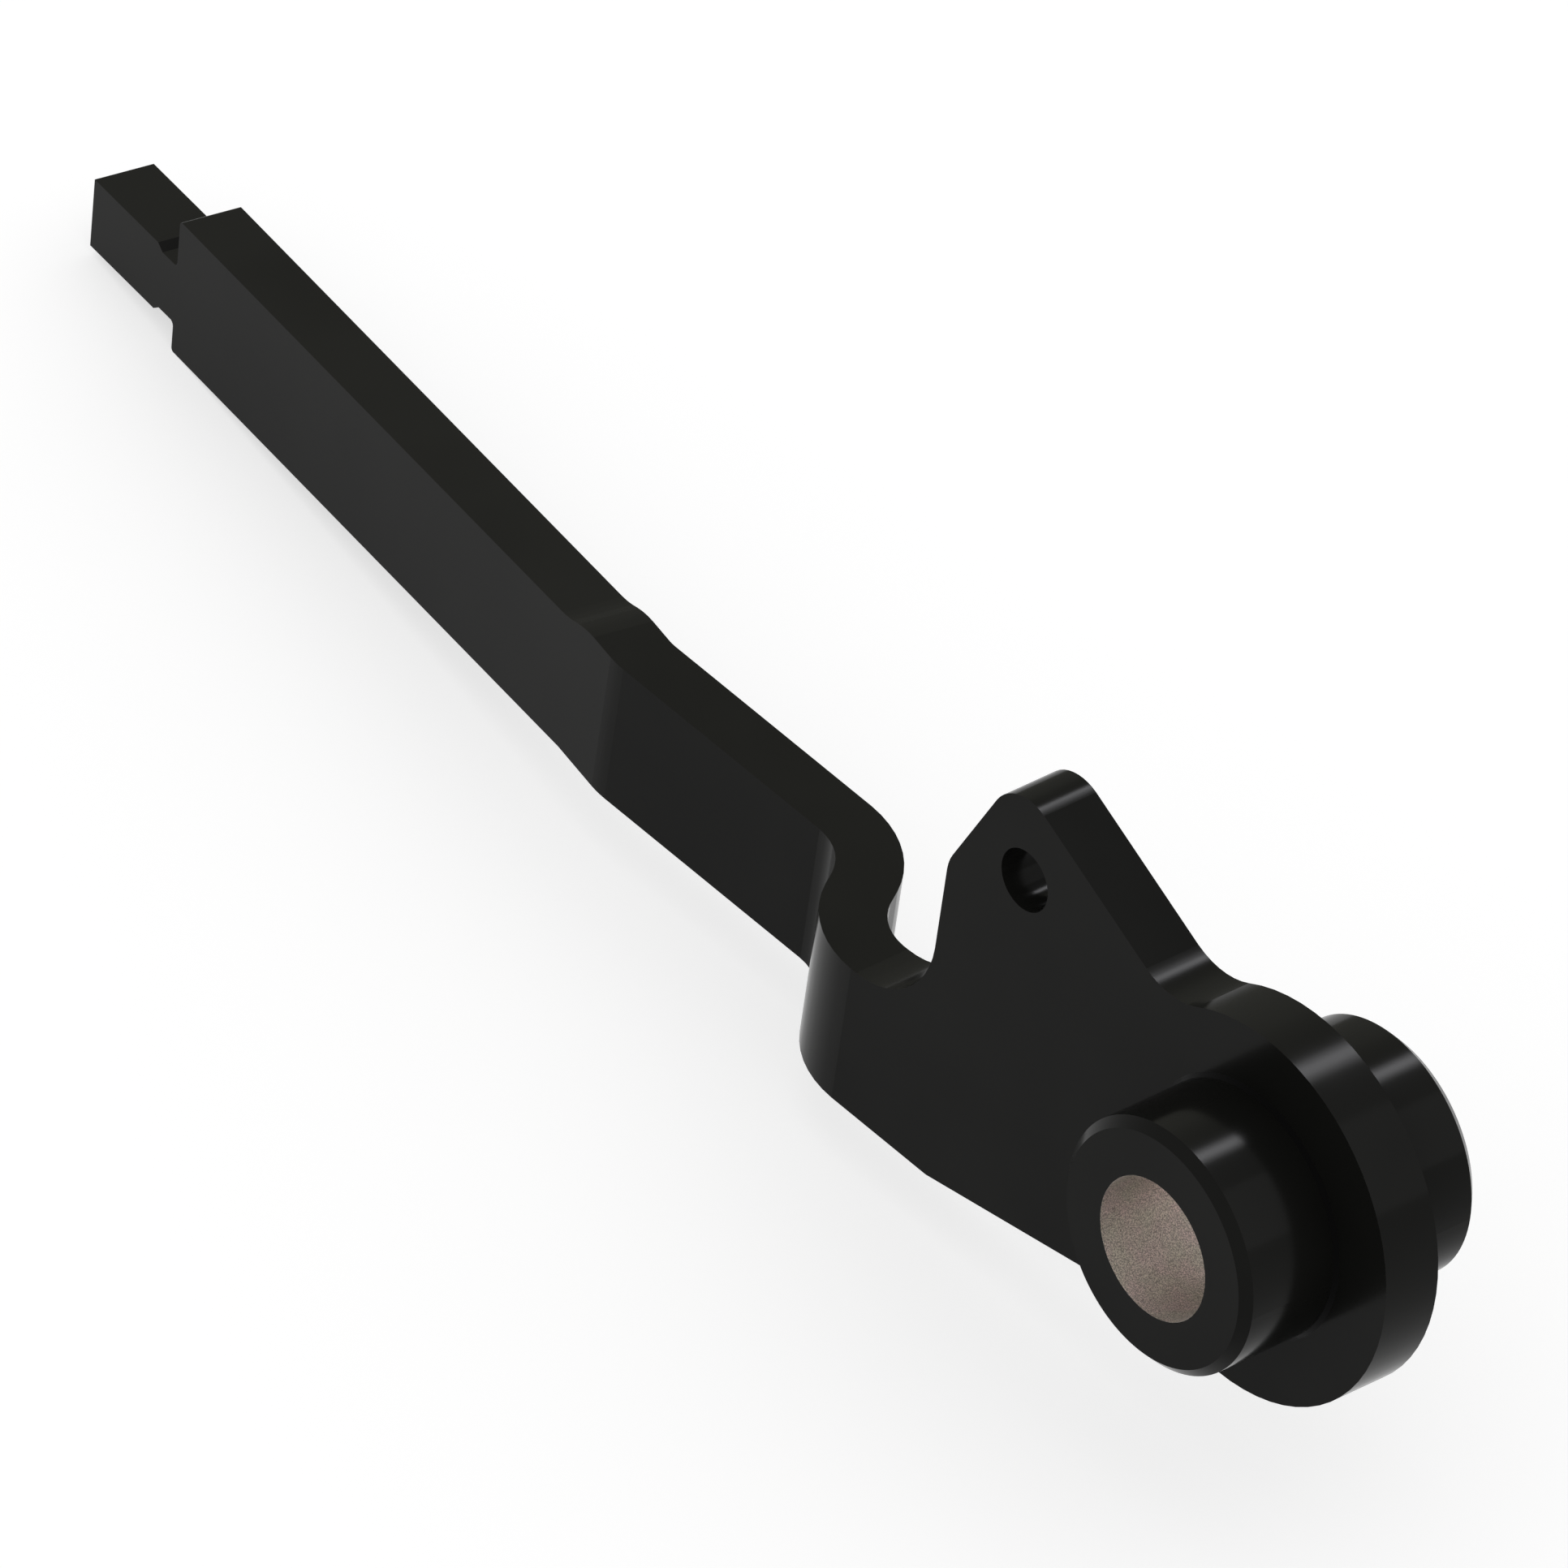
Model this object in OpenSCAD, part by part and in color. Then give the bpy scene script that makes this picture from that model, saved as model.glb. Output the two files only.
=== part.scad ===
// Hand lever of a hydraulic control: one bent flat-bar plate, welded around a bushed pivot boss.
// The pivot axis is Y and the boss centre is the origin. The lever runs towards -X, and Z is up,
// along the bend lines. The front of the lever faces -Y.

/* [Pivot boss] */
// Outside diameter of the boss
boss_dia = 32; // [28:0.5:36]
// Length of the boss along the pivot pin
boss_len = 36; // [24:1:50]
// Chamfer on the outer edge of each boss end
boss_chamfer = 1.2; // [0.4:0.1:2]
// Diameter of the pivot pin's bore, inside the bush
pin_dia = 18; // [12:0.5:20]
// Wall of the plain bush pressed into the boss
bush_wall = 1; // [0.8:0.1:1.5]
// Clearance all around the boss in the plate's hole
boss_gap = 0; // [0:0.05:0.3]
// Leg of the weld bead at each root of the boss
weld_leg = 0.5; // [0.4:0.1:3]

/* [Plate] */
// Thickness of the flat bar
plate_t = 8; // [5:0.5:10]
// Diameter of the plate's round end
disc_dia = 49; // [43:1:60]
// Inside radius of every bend
bend_r = 8; // [5:0.5:12]
// Depth of the strip's lower edge below the pivot axis
strip_low = 30; // [27:0.5:34]
// Width of the strip
strip_w = 19.2; // [18.6:0.2:22]
// Distance from the pivot axis at which the lower edge turns up to the boss
web_corner = 50.4; // [40:0.2:54]
// Distance from the pivot axis to that rising lower edge
web_low = 20.8; // [16:0.2:21]

/* [Link ear] */
// Distance from the pivot axis to the link pin's hole
link_reach = 46.3; // [40:0.1:56]
// Angle of the ear above the strip
ear_angle = 25; // [20:1:32]
// Diameter of the link pin's hole
link_dia = 8; // [5:0.5:10]
// From the line of the two holes to the ear's long edge
ear_side = 10.2; // [8:0.2:13]
// From the link hole's centre to the ear's end
ear_end = 8.9; // [7:0.1:12]
// From the link hole's centre to the ear's upright back edge
ear_back = 12.4; // [10:0.2:14]
// Outer round of the ear's corners
ear_round = 6; // [2:0.5:7]
// Round in the notch between the ear and the strip
slot_round = 12; // [6:0.5:12]
// Round between the ear's long edge and the round end
web_round = 10; // [4:0.5:14]

/* [Joggle] */
// Flat left between the notch and the first bend
bend_clear = 0.4; // [0.1:0.1:10]
// Angle of the two opposite bends
joggle_angle = 60; // [45:1:75]
// Flat between the joggle's two bends
joggle_web = 2.1; // [0.5:0.1:20]
// Flat between the joggle and the arm's bend
mid_len = 34.4; // [15:0.2:60]
// Turn of the arm to the rear
arm_turn = 11; // [0.5:0.5:30]

/* [Arm] */
// Flat from the arm's bend to the corner of its lower edge
arm_lead = 7.6; // [6:0.2:20]
// Slope of the arm below the strip
arm_drop = 5; // [2:0.5:10]
// Width of the arm
arm_w = 18; // [14:0.5:18]
// Length of the arm from that corner to the shoulder, at the tongue's centre line
arm_len = 89.9; // [50:0.1:160]
// Where the strip's upper edge starts down to the arm's width
step_start = 5.4; // [4:0.2:10]
// Slope of that step
step_slope = 18; // [15:1:45]
// Rounds of that step
step_round = 12; // [1:0.5:15]
// Round on the shoulder's two corners
shoulder_round = 0.5; // [0.2:0.1:1.5]

/* [Tongue] */
// Length of the tongue from the shoulder
tongue_len = 19.3; // [12:0.1:40]
// Width of the tongue
tongue_w = 9.2; // [7:0.1:10]
// Slope of the tongue below the arm
tongue_tilt = 1; // [0:0.5:4]
// From the arm's lower edge to the tongue's centre line, at the shoulder
tongue_lift = 7.8; // [7.5:0.1:9]
// Depth of the retaining notch in each edge of the tongue
notch_depth = 0.75; // [0.2:0.05:1.2]
// Length of the notch's floor
notch_len = 3.4; // [2:0.1:6]
// Ramp at the notch's outer end
notch_ramp = 34; // [20:1:60]
// Round in the corner of notch and shoulder
root_round = 0.7; // [0.2:0.1:1]

/* [Hidden] */
$fn = 96;

// How far an area reaches past the edge that it is cut from or added to
seam = 0.1;
// How far a round overlaps the two edges that it joins, so that it crosses them cleanly
hair = 0.002;
// Far enough past the strip for whatever trims it
clear_of = 60;

PAINT = "#252525";
LINING = "#766c65";

// Unit vectors of the plane outlines: turned by a slope below the strip's run away from the pivot
function along(slope) = [cos(slope), -sin(slope)];
function across(slope) = [sin(slope), cos(slope)];
function unit(v) = v / norm(v);
// Unit vectors of the plan: along a heading, and to the left of it
function ahead(heading) = [cos(heading), sin(heading)];
function left_of(heading) = [-sin(heading), cos(heading)];

boss_r = boss_dia / 2;
bush_r = pin_dia / 2 + bush_wall;
disc_r = disc_dia / 2;
strip_top = strip_w - strip_low;

// Line of the two holes, in the XZ plane
link_at = -link_reach * along(ear_angle);
ear_back_x = link_at.x - ear_back;
ear_end_u = -link_reach - ear_end;
ear_tip = ear_end_u * along(ear_angle) + ear_side * across(ear_angle);
// Height of the corner of the ear's end and its back edge
ear_back_z = (ear_back_x - ear_end_u * cos(ear_angle)) / tan(ear_angle) - ear_end_u * sin(ear_angle);

// Rise of the lower edge to the boss: it passes the pivot axis at web_low
web_rise = atan2(strip_low, web_corner) - asin(web_low / norm([strip_low, web_corner]));
web_foot = web_low * [sin(web_rise), -cos(web_rise)];

// Centre of the round between the ear's long edge and the round end
web_centre_v = ear_side + web_round - hair;
web_centre_u = sqrt(pow(disc_r + web_round - hair, 2) - pow(web_centre_v, 2));
web_centre = web_centre_v * across(ear_angle) - web_centre_u * along(ear_angle);

joggle_x = ear_back_x - slot_round - bend_clear;
bend_mid = bend_r + plate_t / 2;

// Plan of the strip beyond the pivot flat, where x runs away from the pivot and y to the front.
// The middle of the strip turns at three corners, from each straight's heading to the next one's.
headings = [0, -joggle_angle, 0, -arm_turn];
joggle_setback = bend_mid * tan(joggle_angle / 2);
arm_setback = bend_mid * tan(arm_turn / 2);
joggle_in = [joggle_setback, 0];
joggle_out = joggle_in + (2 * joggle_setback + joggle_web) * ahead(headings[1]);
arm_bend = joggle_out + (joggle_setback + mid_len + arm_setback) * ahead(headings[2]);
arm_reach = arm_lead + arm_len + tongue_len;
strip_end = arm_bend + (arm_setback + arm_reach + plate_t) * ahead(headings[3]);
plan_corners = [joggle_in, joggle_out, arm_bend];

// Corner i of one face of the strip: the front face if side is 1, the rear one if side is -1
function face_corner(i, side) =
    plan_corners[i] + side * plate_t / 2 / cos((headings[i + 1] - headings[i]) / 2)
        * left_of((headings[i] + headings[i + 1]) / 2);
// One face of the strip from its start to its end
function face_line(side) = concat(
    [[-bend_clear, side * plate_t / 2]],
    [for (i = [0 : len(plan_corners) - 1]) face_corner(i, side)],
    [strip_end + side * plate_t / 2 * left_of(headings[3])]
);

// The arm's outline is drawn in the plate's own plane, from the end of the arm's bend
arm_corner = [arm_lead, -strip_low];
function arm_at(p, q) = arm_corner + p * along(arm_drop) + q * across(arm_drop);
tongue_slope = arm_drop + tongue_tilt;
function tongue_at(p, q) = arm_at(arm_len, tongue_lift) + p * along(tongue_slope) + q * across(tongue_slope);

// The step starts at step_a on the strip's upper edge and ends at step_b on the arm's
step_a = [step_start, strip_top];
step_rise = step_a - clear_of * along(step_slope);
step_height = (step_a - arm_corner) * across(arm_drop) - arm_w;
step_run = step_height / sin(step_slope - arm_drop);
step_b = step_a + step_run * along(step_slope);
step_fit = step_run / (tan(step_slope / 2) + tan((step_slope - arm_drop) / 2));
step_r = min(step_round, 0.95 * step_fit);

neck_half = tongue_w / 2 - notch_depth;
ramp_end = notch_len + notch_depth / tan(notch_ramp);

// The area between the corner v and a round that touches both of its sides. Walked counter-clockwise,
// the outline comes from the point before and goes on to the point after. The area reaches a little
// past the sides, so that it is cut off or added without a seam.
module corner_area(v, before, after, r) {
    side_in = unit(before - v);
    side_out = unit(after - v);
    half = acos(side_in * side_out) / 2;
    inset = r - hair;
    centre = v + unit(side_in + side_out) * inset / sin(half);
    touch_in = v + side_in * inset / tan(half);
    touch_out = v + side_out * inset / tan(half);
    past = 1 + seam / inset;
    difference() {
        translate(centre)
            polygon([
                [0, 0],
                past * (touch_out - centre),
                past * (v - centre),
                past * (touch_in - centre)
            ]);
        translate(centre) circle(r = r);
    }
}

// The area between the ear's long edge, the round end and the round that joins them
module web_area() {
    difference() {
        polygon([
            [0, 0],
            web_centre,
            web_centre - web_round * across(ear_angle)
        ]);
        translate(web_centre) circle(r = web_round);
    }
}

// Round end, web and ear in one outline
module pivot_outline() {
    back_corner = [ear_back_x, ear_back_z];
    slot_corner = [ear_back_x, strip_top];
    slot_end = [joggle_x, strip_top];
    ear_foot = ear_side * across(ear_angle);
    difference() {
        union() {
            circle(r = disc_r);
            polygon([
                [joggle_x, -strip_low],
                [-web_corner, -strip_low],
                web_foot,
                ear_foot,
                ear_tip,
                back_corner,
                slot_corner,
                slot_end
            ]);
            corner_area(slot_corner, back_corner, slot_end, slot_round);
            web_area();
        }
        corner_area(ear_tip, ear_foot, back_corner, ear_round);
        corner_area(back_corner, ear_tip, slot_corner, ear_round);
        translate(link_at) circle(d = link_dia);
        circle(r = boss_r + boss_gap);
    }
}

// Plan of the strip, with every bend rounded inside and outside
module strip_plan() {
    front = face_line(1);
    rear = face_line(-1);
    last = len(front) - 1;
    difference() {
        union() {
            polygon(concat(rear, [for (i = [last : -1 : 0]) front[i]]));
            bend_rounds(front, rear, true);
        }
        bend_rounds(front, rear, false);
    }
}

// The areas at the bends that their rounds add on the inside, or take off on the outside
module bend_rounds(front, rear, inside) {
    for (i = [1 : len(plan_corners)]) {
        turns_left = headings[i] > headings[i - 1];
        if (turns_left == inside)
            corner_area(front[i], front[i + 1], front[i - 1], inside ? bend_r : bend_r + plate_t);
        if (turns_left != inside)
            corner_area(rear[i], rear[i - 1], rear[i + 1], inside ? bend_r : bend_r + plate_t);
    }
}

// All that lies above the arm's outline and beyond its end. The shoulder is square to the tongue.
module above_arm() {
    top_shoulder = tongue_at(0, (arm_w - tongue_lift) / cos(tongue_tilt));
    top_root = tongue_at(0, neck_half);
    top_floor = tongue_at(notch_len, neck_half);
    difference() {
        union() {
            polygon([
                tongue_at(tongue_len, -3 * clear_of),
                tongue_at(clear_of, -3 * clear_of),
                tongue_at(clear_of, 3 * clear_of),
                step_rise,
                step_b,
                top_shoulder,
                top_root,
                top_floor,
                tongue_at(ramp_end, tongue_w / 2),
                tongue_at(tongue_len, tongue_w / 2)
            ]);
            corner_area(top_shoulder, top_root, step_b, shoulder_round);
            corner_area(step_a, step_b, step_a - [1, 0], step_r);
        }
        corner_area(top_root, top_floor, top_shoulder, root_round);
        corner_area(step_b, top_shoulder, step_a, step_r);
    }
}

// All that lies below the arm's outline
module below_arm() {
    low_shoulder = tongue_at(0, -tongue_lift / cos(tongue_tilt));
    low_root = tongue_at(0, -neck_half);
    low_floor = tongue_at(notch_len, -neck_half);
    difference() {
        union() {
            polygon([
                arm_at(-4 * clear_of, 0),
                arm_at(-4 * clear_of, -3 * clear_of),
                tongue_at(clear_of, -3 * clear_of),
                tongue_at(clear_of, -tongue_w / 2),
                tongue_at(ramp_end, -tongue_w / 2),
                low_floor,
                low_root,
                low_shoulder
            ]);
            corner_area(low_shoulder, arm_corner, low_root, shoulder_round);
        }
        corner_area(low_root, low_shoulder, low_floor, root_round);
    }
}

// Where the strip is trimmed from below: under its own lower edge at first, and at any height further on
module below_strip() {
    half_way = arm_bend.x + (arm_setback + arm_lead + arm_len / 2) * cos(arm_turn);
    polygon([
        [-clear_of, -3 * clear_of],
        [half_way + 3 * clear_of, -3 * clear_of],
        [half_way + 3 * clear_of, clear_of],
        [half_way, clear_of],
        [half_way, -strip_low],
        [-clear_of, -strip_low]
    ]);
}

// Stands a plane outline up in the XZ plane, with half of the thickness to each side
module upright(thickness) {
    rotate([90, 0, 0])
        linear_extrude(height = thickness, center = true)
            children();
}

// Places an upright outline of the arm in the plan of the strip
module on_arm() {
    translate(concat(arm_bend, 0))
        rotate([0, 0, headings[3]])
            translate([arm_setback, 0, 0])
                upright(4 * clear_of)
                    children();
}

// Joggle, straight, bend and arm: the plan drawn down from the strip's upper edge, then trimmed
module strip_run() {
    translate([joggle_x, 0, 0])
        rotate([0, 0, 180])
            difference() {
                translate([0, 0, strip_top - clear_of])
                    linear_extrude(height = clear_of)
                        strip_plan();
                on_arm() above_arm();
                intersection() {
                    on_arm() below_arm();
                    upright(4 * clear_of) below_strip();
                }
            }
}

// The whole bent plate: cut to outline, then joggled and bent
module lever_plate() {
    color(PAINT)
        union() {
            upright(plate_t) pivot_outline();
            strip_run();
        }
}

// Turns a section, drawn as radius and height, about the pivot axis. Its height points to the front if
// side is 1 and to the rear if side is -1.
module turned(side = 1) {
    rotate([side * 90, 0, 0])
        rotate_extrude()
            children();
}

// Tube that carries the bush, with its outer edges chamfered
module pivot_boss() {
    half_len = boss_len / 2;
    flank = half_len - boss_chamfer;
    face_r = boss_r - boss_chamfer;
    color(PAINT)
        turned()
            polygon([
                [bush_r, -half_len],
                [face_r, -half_len],
                [boss_r, -flank],
                [boss_r, flank],
                [face_r, half_len],
                [bush_r, half_len]
            ]);
}

// Plain bush over the boss's whole length
module pivot_bush() {
    color(LINING)
        turned()
            translate([pin_dia / 2, -boss_len / 2])
                square([bush_wall, boss_len]);
}

// Fillet bead around the boss where it leaves the plate, on the front if side is 1 and the rear if -1
module weld_bead(side) {
    color(PAINT)
        turned(side)
            translate([boss_r, plate_t / 2])
                polygon([[0, 0], [weld_leg, 0], [0, weld_leg]]);
}

module weld_front() {
    weld_bead(1);
}

module weld_rear() {
    weld_bead(-1);
}

lever_plate();
pivot_boss();
pivot_bush();
weld_front();
weld_rear();
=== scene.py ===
"""Finishes and studio of a hydraulic control's hand lever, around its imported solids."""

import math

import bpy
from bpy.props import (
    FloatProperty,
    FloatVectorProperty,
    PointerProperty,
)
from mathutils import Matrix, Vector


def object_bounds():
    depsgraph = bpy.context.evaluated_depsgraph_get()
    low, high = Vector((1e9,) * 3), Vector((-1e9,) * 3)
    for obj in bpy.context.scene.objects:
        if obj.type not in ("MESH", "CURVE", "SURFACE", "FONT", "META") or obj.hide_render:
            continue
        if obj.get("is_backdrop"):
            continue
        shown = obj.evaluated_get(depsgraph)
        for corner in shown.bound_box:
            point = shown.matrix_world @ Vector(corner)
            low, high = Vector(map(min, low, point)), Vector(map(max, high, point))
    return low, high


bl_info = {
    "name": "Hydraulic control lever",
    "version": (1, 0, 0),
    "blender": (4, 5, 0),
    "location": "3D View > Sidebar > Lever",
    "description": "Paint, bush lining and studio of a welded hand lever",
    "category": "Object",
}

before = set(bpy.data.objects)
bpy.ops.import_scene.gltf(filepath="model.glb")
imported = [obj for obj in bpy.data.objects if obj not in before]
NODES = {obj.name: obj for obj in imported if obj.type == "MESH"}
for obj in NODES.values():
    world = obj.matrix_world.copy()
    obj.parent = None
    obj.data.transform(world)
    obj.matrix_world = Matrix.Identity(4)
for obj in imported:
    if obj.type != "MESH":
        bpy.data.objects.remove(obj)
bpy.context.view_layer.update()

PAINTED = ("lever_plate", "pivot_boss")
WELDS = ("weld_front", "weld_rear")

# Coat. A noise is its waves per metre and its detail, a range is the part of the
# noise that is spread out, and a swing is a share of the value.
DRIFT_NOISE = (45, 2)
DRIFT_RANGE = (0.35, 0.65)
COLOUR_SWING = 0.15
UNEVEN_NOISE = (120, 3)
UNEVEN_RANGE = (0.3, 0.7)
ROUGHNESS_SWING = 0.1
PEEL_DETAIL = 1

# Bare lining of the bush
GRAIN_DETAIL = 2
GRAIN_RANGE = (0.38, 0.62)
GRAIN_SWING = 0.42
CLOUD_DETAIL = 3
CLOUD_RANGE = (0.35, 0.65)
CLOUD_DARK = (0.95, 1.0, 0.96)
CLOUD_LIGHT = (1.05, 1.0, 1.04)
LINING_ROUGHNESS = 0.5
GRAIN_RELIEF = 0.000015

# Studio, in metres. Ways point from the pivot, and the camera's turn is a quaternion.
SHOWN_RAYS = ("Is Camera Ray", "Is Glossy Ray", "Is Transmission Ray")
FLOOR_WIDTH = 12
FLOOR_GLOW = 0.605
STRIP_WAY = (-0.187, 0.566, 0.803)
STRIP_SIDE = (0.97, 0, 0.23)
STRIP_COLOUR = (0.99, 0.99, 1.03)
STRIPS = (  # name, distance, width as a share of the distance, radiance
    ("strip_light", 3.0, 0.20, 6.8),
    ("strip_light_core", 2.8, 0.10, 10.2),
)
FILL_WAY = (0.60, 0.567, 0.53)
FILL_SIDE = (-0.66, 0, 0.75)
FILL_SIZE = (1.6, 2.4)
FILL_DISTANCE = 2.0
FILL_RADIANCE = 0.74
CARD_WAY = (-0.79, 0.61, 0)
CARD_SIDE = (-0.61, -0.79, 0)
CARD_SIZE = (3.2, 2.5)
CARD_DISTANCE = 2.0
CARD_MIDDLE = 1.2
CARD_TINT = (1, 1, 0.88)
CARD_LEVELS = (  # height as a share of the card's, brightness
    (0, 0.30),
    (0.16, 0.45),
    (0.37, 0.72),
    (0.50, 0.90),
    (0.67, 0.83),
    (1, 0.70),
)
SENSOR = 36
CAMERA_PLACE = (4.509923, -4.826230, 5.266357)
CAMERA_TURN = (0.80827518, 0.41576755, 0.13117639, 0.39575414)
CAMERA_CLIP = (0.1, 30)


class LeverPaintSettings(bpy.types.PropertyGroup):
    """Black paint over the plate, the boss and the welds"""

    colour: FloatVectorProperty(
        name="Paint colour",
        description="Colour of the black top coat",
        subtype="COLOR",
        size=3,
        min=0,
        max=1,
        default=(0.0080, 0.0081, 0.0072),
    )
    gloss_index: FloatProperty(
        name="Gloss index",
        description="Refractive index of the top coat, so how strongly it mirrors",
        min=1,
        max=2,
        default=1.14,
    )
    roughness: FloatProperty(
        name="Roughness",
        description="Roughness of the top coat",
        subtype="FACTOR",
        min=0,
        max=1,
        default=0.15,
    )
    # Painted shade: the coat over the welds gets a far darker colour than the rest, so the
    # corner where the boss meets the plate renders dark as if in shade.
    weld_shade_colour: FloatVectorProperty(
        name="Weld colour",
        description="Colour of the coat over the welds, deeper in the corner",
        subtype="COLOR",
        size=3,
        min=0,
        max=1,
        default=(0.0012, 0.0012, 0.0011),
    )
    weld_index: FloatProperty(
        name="Weld gloss index",
        description="Refractive index of the coat over the welds",
        min=1,
        max=2,
        default=1.1,
    )
    orange_peel: FloatProperty(
        name="Orange peel",
        description="Height of the faint waves in the sprayed coat",
        unit="LENGTH",
        min=0,
        max=0.0001,
        precision=6,
        default=0.000001,
    )
    peel_size: FloatProperty(
        name="Peel size",
        description="Width of one wave in the sprayed coat",
        unit="LENGTH",
        min=0.0005,
        max=0.02,
        precision=4,
        default=0.0025,
    )


class LeverBushSettings(bpy.types.PropertyGroup):
    """Plain bush that lines the pivot bore"""

    colour: FloatVectorProperty(
        name="Lining colour",
        description="Colour of the bare sintered lining",
        subtype="COLOR",
        size=3,
        min=0,
        max=1,
        default=(0.632, 0.578, 0.537),
    )
    grain: FloatProperty(
        name="Grain",
        description="Width of one grain of the sintered metal",
        unit="LENGTH",
        min=0.00005,
        max=0.001,
        precision=5,
        default=0.00015,
    )
    patch: FloatProperty(
        name="Patch",
        description="Width of one cloudy patch on the lining",
        unit="LENGTH",
        min=0.0005,
        max=0.02,
        precision=4,
        default=0.003,
    )
    lined_radius: FloatProperty(
        name="Lined radius",
        description="Radius inside which the bush is bare; its end faces are painted",
        unit="LENGTH",
        min=0.005,
        max=0.02,
        precision=6,
        default=0.009003,
    )


class LeverStudioSettings(bpy.types.PropertyGroup):
    """Floor, even light and lens"""

    floor_drop: FloatProperty(
        name="Floor drop",
        description="Height of the lever's lowest point above the floor",
        unit="LENGTH",
        min=0,
        max=1,
        default=0.0,
    )
    floor_colour: FloatVectorProperty(
        name="Floor colour",
        description="Colour of the floor; a darker one has a fainter shadow",
        subtype="COLOR",
        size=3,
        min=0,
        max=1,
        default=(0.55, 0.55, 0.55),
    )
    sky: FloatProperty(
        name="Sky",
        description="Strength of the soft light from all around",
        min=0,
        max=2,
        default=0.75,
    )
    half_angle: FloatProperty(
        name="Half angle",
        description="Half of the camera's field of view",
        subtype="ANGLE",
        min=0.001,
        max=0.5,
        default=0.0106465,
    )


def new_finish(name):
    """Makes a node material, and returns it with its tree and its main shader."""
    finish = bpy.data.materials.new(name)
    finish.use_nodes = True
    tree = finish.node_tree
    return finish, tree, tree.nodes["Principled BSDF"]


def add_node(tree, kind, **values):
    """Adds a shader node and sets its plain values."""
    made = tree.nodes.new(kind)
    for name, value in values.items():
        setattr(made, name, value)
    return made


def object_noise(tree, scale, detail):
    """Noise that stays on the piece, because it reads Object coordinates."""
    place = add_node(tree, "ShaderNodeTexCoord")
    noise = add_node(tree, "ShaderNodeTexNoise", noise_dimensions="3D")
    noise.inputs["Scale"].default_value = scale
    noise.inputs["Detail"].default_value = detail
    tree.links.new(place.outputs["Object"], noise.inputs["Vector"])
    return noise.outputs["Fac"]


def between(tree, source, limits, results):
    """Spreads a value from its limits to two results."""
    spread = add_node(tree, "ShaderNodeMapRange")
    spread.inputs["From Min"].default_value = limits[0]
    spread.inputs["From Max"].default_value = limits[1]
    spread.inputs["To Min"].default_value = results[0]
    spread.inputs["To Max"].default_value = results[1]
    tree.links.new(source, spread.inputs["Value"])
    return spread.outputs["Result"]


def spread_colour(tree, source, limits, dark, light):
    """Turns a noise into a colour that swings between a darker and a lighter one."""
    ramp = add_node(tree, "ShaderNodeValToRGB")
    stops = ramp.color_ramp.elements
    for stop, where, colour in zip(stops, limits, (dark, light)):
        stop.position = where
        stop.color = (*colour, 1)
    tree.links.new(source, ramp.inputs["Fac"])
    return ramp.outputs["Color"]


def scaled(values, factor):
    """Each value times the factor, such as a colour made brighter or darker."""
    return [value * factor for value in values]


def blend_colour(tree, factor, first, second, blend_type="MIX"):
    """Mixes two colours; a number stands for a fixed factor."""
    mix = add_node(
        tree, "ShaderNodeMix", data_type="RGBA", blend_type=blend_type
    )
    # By number, because a Mix node has several sockets of each name.
    factor_in, first_in, second_in = (mix.inputs[i] for i in (0, 6, 7))
    wanted = ((factor_in, factor), (first_in, first), (second_in, second))
    for socket, value in wanted:
        if isinstance(value, bpy.types.NodeSocket):
            tree.links.new(value, socket)
        else:
            socket.default_value = value
    return mix.outputs[2]


def set_bump(tree, shader, height, distance):
    """Gives a shader a bump whose full height is distance."""
    bump = add_node(tree, "ShaderNodeBump")
    bump.inputs["Strength"].default_value = 1
    bump.inputs["Distance"].default_value = distance
    tree.links.new(height, bump.inputs["Height"])
    tree.links.new(bump.outputs["Normal"], shader.inputs["Normal"])


def black_paint(settings, name, colour, gloss_index):
    """Sprayed gloss black, with a faint orange peel and a slightly uneven gloss."""
    paint, tree, shader = new_finish(name)
    shader.inputs["IOR"].default_value = gloss_index

    drift = spread_colour(
        tree,
        object_noise(tree, *DRIFT_NOISE),
        DRIFT_RANGE,
        scaled(colour, 1 - COLOUR_SWING),
        scaled(colour, 1 + COLOUR_SWING),
    )
    tree.links.new(drift, shader.inputs["Base Color"])

    uneven = between(
        tree,
        object_noise(tree, *UNEVEN_NOISE),
        UNEVEN_RANGE,
        scaled((1 - ROUGHNESS_SWING, 1 + ROUGHNESS_SWING), settings.roughness),
    )
    tree.links.new(uneven, shader.inputs["Roughness"])

    peel = object_noise(tree, 1 / settings.peel_size, PEEL_DETAIL)
    set_bump(tree, shader, peel, settings.orange_peel)
    return paint


def beyond_radius(tree, radius):
    """1 where the surface lies further than this from the pivot axis, and 0 inside."""
    place = add_node(tree, "ShaderNodeTexCoord")
    flat = add_node(tree, "ShaderNodeVectorMath", operation="MULTIPLY")
    flat.inputs[1].default_value = (1, 0, 1)
    reach = add_node(tree, "ShaderNodeVectorMath", operation="LENGTH")
    past = add_node(tree, "ShaderNodeMath", operation="GREATER_THAN")
    past.inputs[1].default_value = radius
    tree.links.new(place.outputs["Object"], flat.inputs[0])
    tree.links.new(flat.outputs["Vector"], reach.inputs[0])
    tree.links.new(reach.outputs["Value"], past.inputs[0])
    return past.outputs["Value"]


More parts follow.
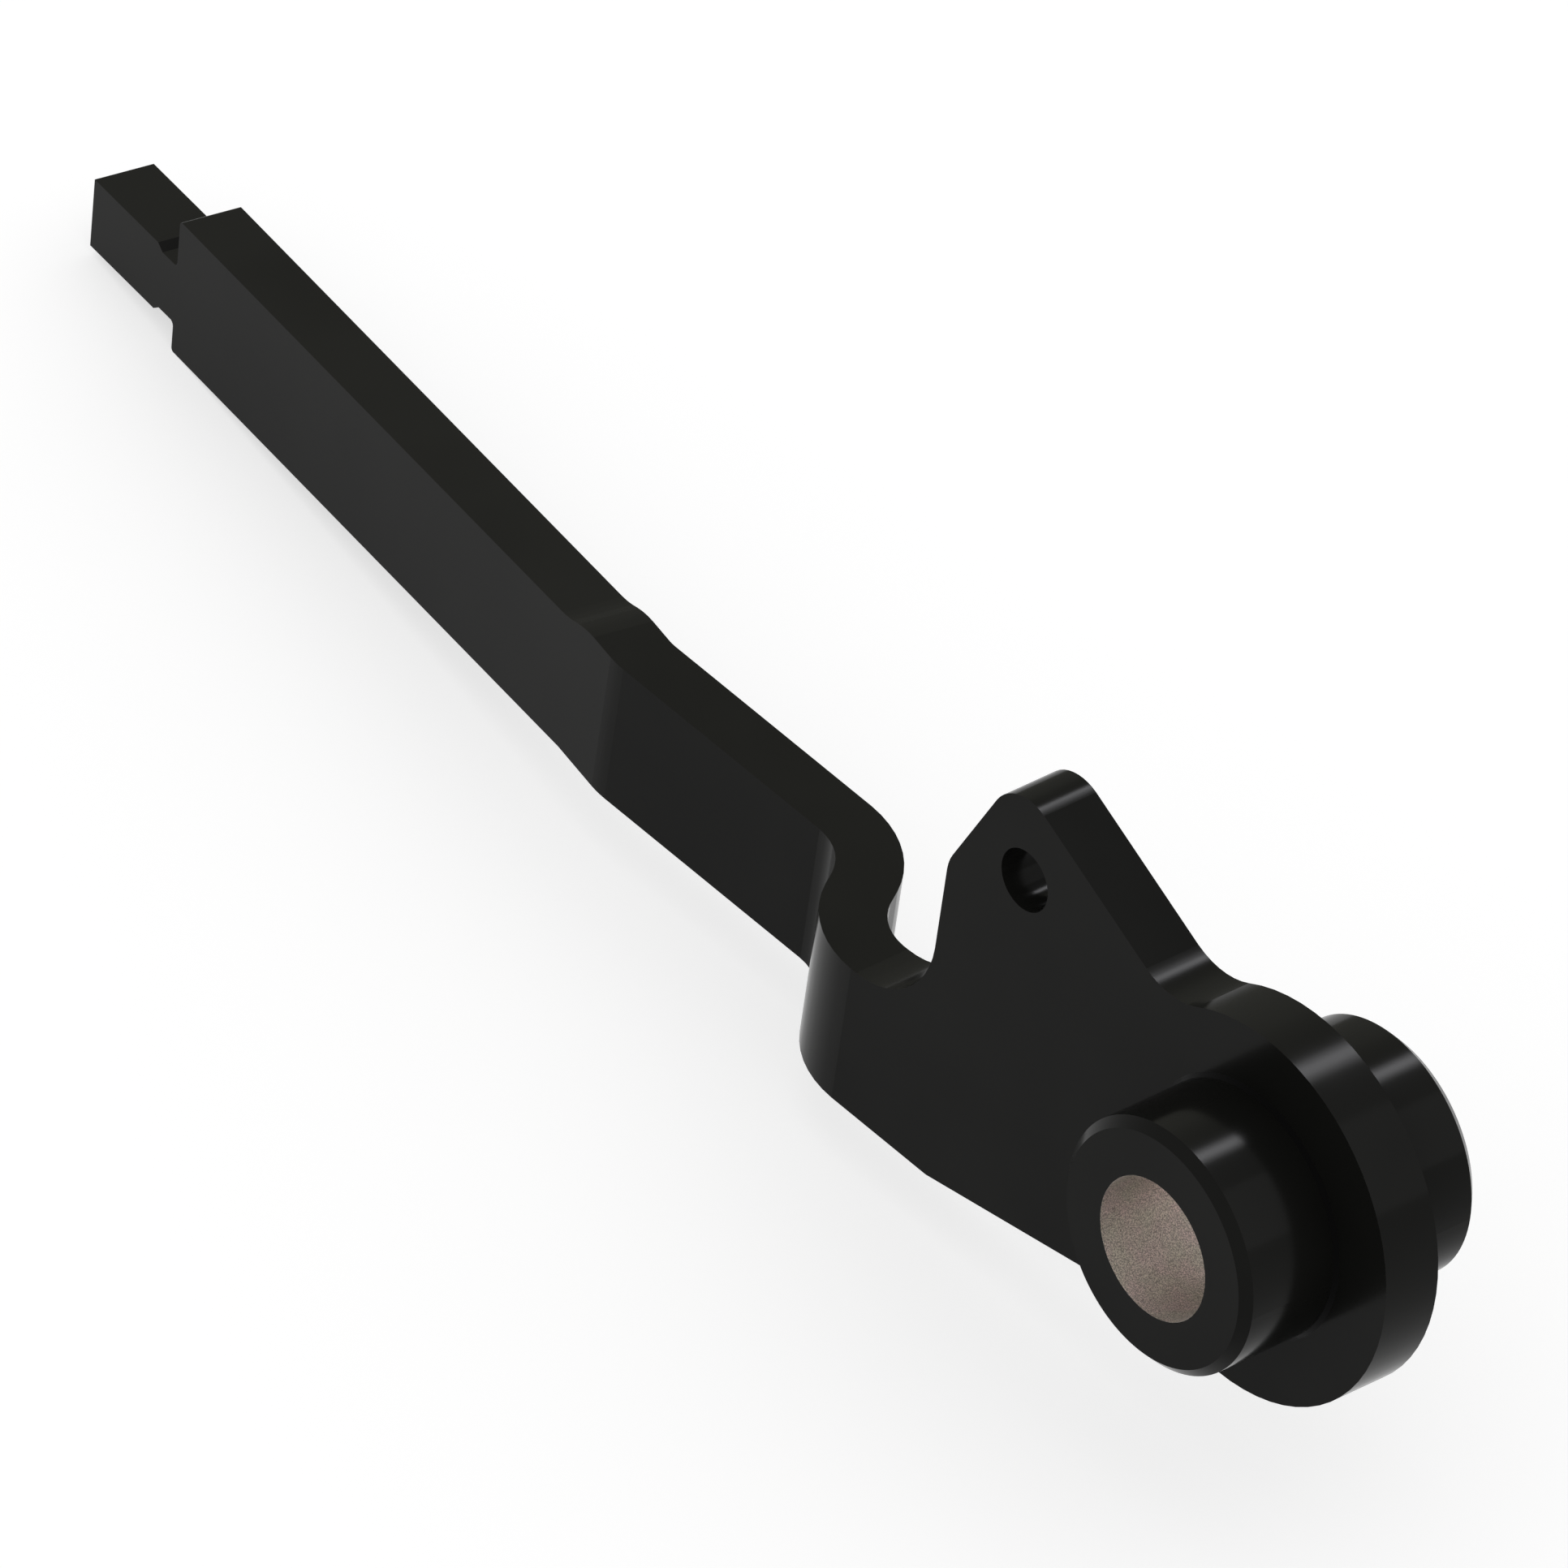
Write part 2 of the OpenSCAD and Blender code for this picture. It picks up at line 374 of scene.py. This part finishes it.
def bush_lining(settings, paint):
    """Bare sintered metal in the bore, grained and cloudy, with painted end faces."""
    lining, tree, shader = new_finish("sintered_bush")
    shader.inputs["IOR"].default_value = paint.gloss_index

    grain = object_noise(tree, 1 / settings.grain, GRAIN_DETAIL)
    speckled = spread_colour(
        tree,
        grain,
        GRAIN_RANGE,
        scaled(settings.colour, 1 - GRAIN_SWING),
        scaled(settings.colour, 1 + GRAIN_SWING),
    )
    cloud = object_noise(tree, 1 / settings.patch, CLOUD_DETAIL)
    clouds = spread_colour(tree, cloud, CLOUD_RANGE, CLOUD_DARK, CLOUD_LIGHT)
    bare = blend_colour(tree, 1, speckled, clouds, "MULTIPLY")

    painted = beyond_radius(tree, settings.lined_radius)
    colour = blend_colour(tree, painted, bare, (*paint.colour, 1))
    metallic = between(tree, painted, (0, 1), (1, 0))
    rough = between(tree, painted, (0, 1), (LINING_ROUGHNESS, paint.roughness))
    tree.links.new(colour, shader.inputs["Base Color"])
    tree.links.new(metallic, shader.inputs["Metallic"])
    tree.links.new(rough, shader.inputs["Roughness"])

    relief = add_node(
        tree, "ShaderNodeMath", operation="SUBTRACT", use_clamp=True
    )
    tree.links.new(grain, relief.inputs[0])
    tree.links.new(painted, relief.inputs[1])
    set_bump(tree, shader, relief.outputs["Value"], GRAIN_RELIEF)
    return lining


def dress(piece, material):
    """Gives one finish to a whole piece."""
    piece.data.materials.clear()
    piece.data.materials.append(material)


class LEVER_OT_paint(bpy.types.Operator):
    """Paint the plate, the boss and the welds gloss black"""

    bl_idname = "lever.paint"
    bl_label = "Paint plate, boss and welds"

    def execute(self, context):
        settings = context.scene.lever_paint
        smooth = black_paint(
            settings,
            "gloss_black_paint",
            settings.colour,
            settings.gloss_index,
        )
        # The welds take the same coat in the darker weld colour, which is painted shade
        # for their corner.
        weld_shade_paint = black_paint(
            settings,
            "weld_coat_painted_shade",
            settings.weld_shade_colour,
            settings.weld_index,
        )
        for name in PAINTED:
            dress(NODES[name], smooth)
        for name in WELDS:
            dress(NODES[name], weld_shade_paint)
        return {"FINISHED"}


class LEVER_OT_line_bore(bpy.types.Operator):
    """Give the bush its grained lining"""

    bl_idname = "lever.line_bore"
    bl_label = "Line the pivot bore"

    def execute(self, context):
        scene = context.scene
        lining = bush_lining(scene.lever_bush, scene.lever_paint)
        dress(NODES["pivot_bush"], lining)
        return {"FINISHED"}


def shown_rays(tree):
    """1 for the rays that show the background: direct, mirrored or through glass."""
    path = add_node(tree, "ShaderNodeLightPath")
    total = path.outputs[SHOWN_RAYS[0]]
    for name in SHOWN_RAYS[1:]:
        most = add_node(tree, "ShaderNodeMath", operation="MAXIMUM")
        tree.links.new(total, most.inputs[0])
        tree.links.new(path.outputs[name], most.inputs[1])
        total = most.outputs["Value"]
    return total


def white_room(settings):
    """World that is white to look at and gives an even light."""
    room = bpy.data.worlds.new("white_room")
    room.use_nodes = True
    tree = room.node_tree
    background = tree.nodes["Background"]
    background.inputs["Color"].default_value = (1, 1, 1, 1)
    strength = between(tree, shown_rays(tree), (0, 1), (settings.sky, 1))
    tree.links.new(strength, background.inputs["Strength"])
    return room


def pale_floor(settings):
    """Floor that is white to look at and keeps the lever's soft shadow."""
    finish, tree, shader = new_finish("pale_floor")
    shader.inputs["Base Color"].default_value = (*settings.floor_colour, 1)
    shader.inputs["Roughness"].default_value = 1
    shader.inputs["Specular IOR Level"].default_value = 0
    shader.inputs["Emission Color"].default_value = (1, 1, 1, 1)
    glow = between(tree, shown_rays(tree), (0, 1), (0, FLOOR_GLOW))
    tree.links.new(glow, shader.inputs["Emission Strength"])
    return finish


def lay_floor(context, settings):
    """Floor under the lever's lowest point."""
    low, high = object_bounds()
    centre = (low + high) / 2
    bpy.ops.mesh.primitive_plane_add(
        size=FLOOR_WIDTH,
        location=(centre.x, centre.y, low.z - settings.floor_drop),
    )
    floor = context.active_object
    floor.name = "studio_floor"
    dress(floor, pale_floor(settings))
    floor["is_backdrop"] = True


def aim(thing, way, side, distance):
    """Puts a lamp or card where it faces the pivot, with its width along side."""
    away = Vector(way).normalized()
    across = Vector(side)
    across = (across - away * across.dot(away)).normalized()
    turn = Matrix((across, away.cross(across), away)).transposed()
    thing.location = away * distance
    thing.rotation_euler = turn.to_euler()


def soft_box(scene, name, size, radiance):
    """Rectangular lamp that shows only in the gloss."""
    width, height = size
    lamp_data = bpy.data.lights.new(name, "AREA")
    lamp_data.shape = "RECTANGLE"
    lamp_data.size = width
    lamp_data.size_y = height
    lamp_data.energy = radiance * math.pi * width * height
    lamp = bpy.data.objects.new(name, lamp_data)
    lamp.visible_diffuse = False
    scene.collection.objects.link(lamp)
    return lamp


def strip_lamps(scene):
    """Long narrow soft boxes high behind the lever, which draw the streaks."""
    for name, distance, share, radiance in STRIPS:
        lamp = soft_box(scene, name, (share * distance, distance), radiance)
        lamp.data.color = STRIP_COLOUR
        aim(lamp, STRIP_WAY, STRIP_SIDE, distance)


def soft_fill(scene):
    """Wide, faint soft box behind the lever on its pivot's side."""
    lamp = soft_box(scene, "soft_fill", FILL_SIZE, FILL_RADIANCE)
    aim(lamp, FILL_WAY, FILL_SIDE, FILL_DISTANCE)


def card_finish():
    """Black card that glows from dim at its foot to lighter above."""
    finish, tree, shader = new_finish("grey_card")
    shader.inputs["Base Color"].default_value = (0, 0, 0, 1)
    shader.inputs["Specular IOR Level"].default_value = 0
    shader.inputs["Emission Strength"].default_value = 1

    place = add_node(tree, "ShaderNodeTexCoord")
    parts = add_node(tree, "ShaderNodeSeparateXYZ")
    tree.links.new(place.outputs["Object"], parts.inputs["Vector"])
    height = between(tree, parts.outputs["Y"], (-0.5, 0.5), (0, 1))

    ramp = add_node(tree, "ShaderNodeValToRGB")
    stops = ramp.color_ramp.elements
    for where, level in CARD_LEVELS[1:-1]:
        stops.new(where)
    for stop, (where, level) in zip(stops, CARD_LEVELS):
        stop.color = (*scaled(CARD_TINT, level), 1)
    tree.links.new(height, ramp.inputs["Fac"])
    tree.links.new(ramp.outputs["Color"], shader.inputs["Emission Color"])
    return finish


def grey_card(context):
    """Card behind the lever on its grip's side, mirrored as a darker band."""
    bpy.ops.mesh.primitive_plane_add(size=1)
    card = context.active_object
    card.name = "studio_card"
    dress(card, card_finish())
    card.scale = (*CARD_SIZE, 1)
    aim(card, CARD_WAY, CARD_SIDE, CARD_DISTANCE)
    card.location.z = CARD_MIDDLE
    card.visible_camera = False
    card.visible_diffuse = False
    card.visible_shadow = False
    card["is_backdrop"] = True


def set_camera(scene, settings):
    """Long lens at the photograph's angle."""
    camera_data = bpy.data.cameras.new("lever_camera")
    camera_data.sensor_width = SENSOR
    camera_data.angle = 2 * settings.half_angle
    camera_data.clip_start, camera_data.clip_end = CAMERA_CLIP
    camera = bpy.data.objects.new("lever_camera", camera_data)
    camera.location = CAMERA_PLACE
    camera.rotation_mode = "QUATERNION"
    camera.rotation_quaternion = CAMERA_TURN
    scene.collection.objects.link(camera)
    scene.camera = camera


class LEVER_OT_set_studio(bpy.types.Operator):
    """Set up the white room, the floor, the lamps and the camera"""

    bl_idname = "lever.set_studio"
    bl_label = "Set up the studio"

    def execute(self, context):
        scene = context.scene
        settings = scene.lever_studio
        scene.view_settings.view_transform = "Standard"
        scene.world = white_room(settings)
        lay_floor(context, settings)
        strip_lamps(scene)
        soft_fill(scene)
        grey_card(context)
        set_camera(scene, settings)
        return {"FINISHED"}


class LEVER_PT_pieces(bpy.types.Panel):
    """Steps that dress the lever and set its studio"""

    bl_label = "Lever"
    bl_idname = "LEVER_PT_pieces"
    bl_space_type = "VIEW_3D"
    bl_region_type = "UI"
    bl_category = "Lever"

    def draw(self, context):
        for step in STEPS:
            self.layout.operator(step.bl_idname)


STEPS = (LEVER_OT_paint, LEVER_OT_line_bore, LEVER_OT_set_studio)
CLASSES = (
    LeverPaintSettings,
    LeverBushSettings,
    LeverStudioSettings,
    *STEPS,
    LEVER_PT_pieces,
)


def register():
    for each in CLASSES:
        bpy.utils.register_class(each)
    bpy.types.Scene.lever_paint = PointerProperty(type=LeverPaintSettings)
    bpy.types.Scene.lever_bush = PointerProperty(type=LeverBushSettings)
    bpy.types.Scene.lever_studio = PointerProperty(type=LeverStudioSettings)


def unregister():
    del bpy.types.Scene.lever_studio
    del bpy.types.Scene.lever_bush
    del bpy.types.Scene.lever_paint
    for each in reversed(CLASSES):
        bpy.utils.unregister_class(each)


def main():
    register()
    bpy.ops.lever.paint()
    bpy.ops.lever.line_bore()
    bpy.ops.lever.set_studio()


if __name__ == "__main__":
    main()
